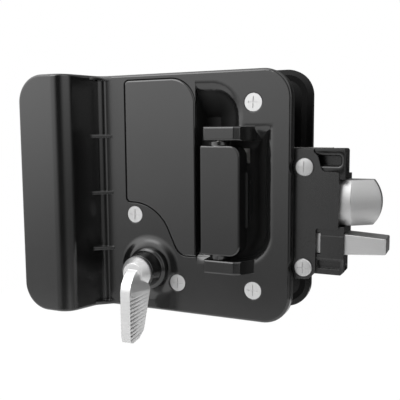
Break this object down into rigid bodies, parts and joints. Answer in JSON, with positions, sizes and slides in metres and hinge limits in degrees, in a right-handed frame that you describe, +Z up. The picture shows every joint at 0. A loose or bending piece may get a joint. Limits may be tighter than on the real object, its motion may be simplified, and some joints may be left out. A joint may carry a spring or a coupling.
{
  "type": "recreational vehicle door lock",
  "caption": "Recreational vehicle door lock with an inside paddle and pull wing, a slam bolt, a deadbolt with its thumb-turn, and an outside handle with key cylinders.",
  "frame": {"origin": "middle of the inside plate's seat rim on the pull wing's side, in the plane of the door's inner skin", "axes": "+X towards the latch side and the bolts' tips, +Y through the door to the outside, +Z up"},
  "size_m": [0.1553, 0.0707, 0.1171],
  "materials": {
    "black_plastic": "fine matt texture",
    "pad_plastic": "satin, a little smoother than the plate",
    "bush_plastic": "gloss black",
    "turn_metal": "brushed die casting with polished edges",
    "bolt_metal": "fine brushed",
    "deadbolt_metal": "satin plated",
    "screw_metal": "bright plated",
    "strip_steel": "zinc plated sheet",
    "spring_steel": "drawn wire",
    "handle_black": "black powder coat",
    "cylinder_metal": "satin chrome",
    "plug_brass": "turned",
    "gasket_rubber": "soft foam"
  },
  "bodies": {
    "lock_frame": {"inside_escutcheon": "black_plastic", "palm_pad": "pad_plastic", "turn_bush": "bush_plastic", "escutcheon_screws": "screw_metal", "paddle_pin": "strip_steel", "latch_case": "black_plastic", "latch_cover": "black_plastic", "cover_screws": "screw_metal", "chassis_plate": "strip_steel", "chassis_screws": "screw_metal", "lever_post": "strip_steel", "lever_clip": "spring_steel", "outside_bezel": "black_plastic", "bezel_gasket": "gasket_rubber", "handle_pin": "strip_steel", "latch_cylinder": "cylinder_metal", "deadbolt_cylinder": "cylinder_metal", "cylinder_clips": "spring_steel", "latch_spring": "spring_steel", "handle_spring": "spring_steel", "spindle_washer": "spring_steel"},
    "paddle": {"inside_paddle": "black_plastic", "finger_pin": "strip_steel"},
    "lever": {"release_lever": "strip_steel", "lever_stud": "strip_steel"},
    "latch_bolt": {"slam_bolt": "bolt_metal", "draw_bar": "strip_steel", "bolt_pin": "strip_steel"},
    "dead_bolt": {"deadbolt": "deadbolt_metal", "deadbolt_link": "strip_steel", "link_pin": "strip_steel"},
    "turn": {"thumb_turn": "turn_metal", "turn_spindle": "strip_steel", "turn_crank": "strip_steel", "crank_pin": "strip_steel", "spindle_clip": "spring_steel"},
    "handle": {"outside_handle": "handle_black"},
    "latch_key": {"latch_plug": "plug_brass", "latch_cam": "strip_steel", "cam_nut": "screw_metal"},
    "deadbolt_key": {"deadbolt_plug": "plug_brass", "plug_driver": "strip_steel"}
  },
  "joints": [
    {"name": "latch_slide", "type": "slide", "parent": "lock_frame", "child": "latch_bolt", "axis": [-1, 0, 0], "range_m": [0, 0.013], "stiffness_N_per_m": 260, "springref_m": -0.012, "deforming": ["latch_spring"]},
    {"name": "paddle_hinge", "type": "hinge", "parent": "lock_frame", "child": "paddle", "pos_m": [0.0507, -0.008, 0], "axis": [0, 0, -1], "range_deg": [0, 25]},
    {"name": "lever_hinge", "type": "hinge", "parent": "lock_frame", "child": "lever", "pos_m": [0.0545, 0.009, 0.01017], "axis": [0, 1, 0], "range_deg": [0, 58.2]},
    {"name": "deadbolt_slide", "type": "slide", "parent": "lock_frame", "child": "dead_bolt", "axis": [-1, 0, 0], "range_m": [0, 0.01626]},
    {"name": "thumb_turn_hinge", "type": "hinge", "parent": "lock_frame", "child": "turn", "pos_m": [0.0154, 0, -0.033], "axis": [0, -1, 0], "range_deg": [0, 90]},
    {"name": "deadbolt_key_turn", "type": "hinge", "parent": "lock_frame", "child": "deadbolt_key", "pos_m": [0.0154, 0.035, -0.033], "axis": [0, -1, 0], "range_deg": [0, 90]},
    {"name": "outside_handle_hinge", "type": "hinge", "parent": "lock_frame", "child": "handle", "pos_m": [0.052, 0.0365, 0], "axis": [0, 0, -1], "range_deg": [0, 36], "stiffness_Nm_per_rad": 0.06, "springref_deg": -28.65},
    {"name": "latch_key_turn", "type": "hinge", "parent": "lock_frame", "child": "latch_key", "pos_m": [0.047, 0.03, -0.024], "axis": [0, -1, 0], "range_deg": [-90, 0]}
  ],
  "couplings": [
    {"joint": "paddle_hinge", "follows": "latch_slide", "rad_per_m": 33.564},
    {"joint": "lever_hinge", "follows": "latch_slide", "rad_per_m": 78.137},
    {"joint": "thumb_turn_hinge", "follows": "deadbolt_slide", "rad_per_m": 96.604},
    {"joint": "deadbolt_key_turn", "follows": "deadbolt_slide", "rad_per_m": 96.604}
  ]
}
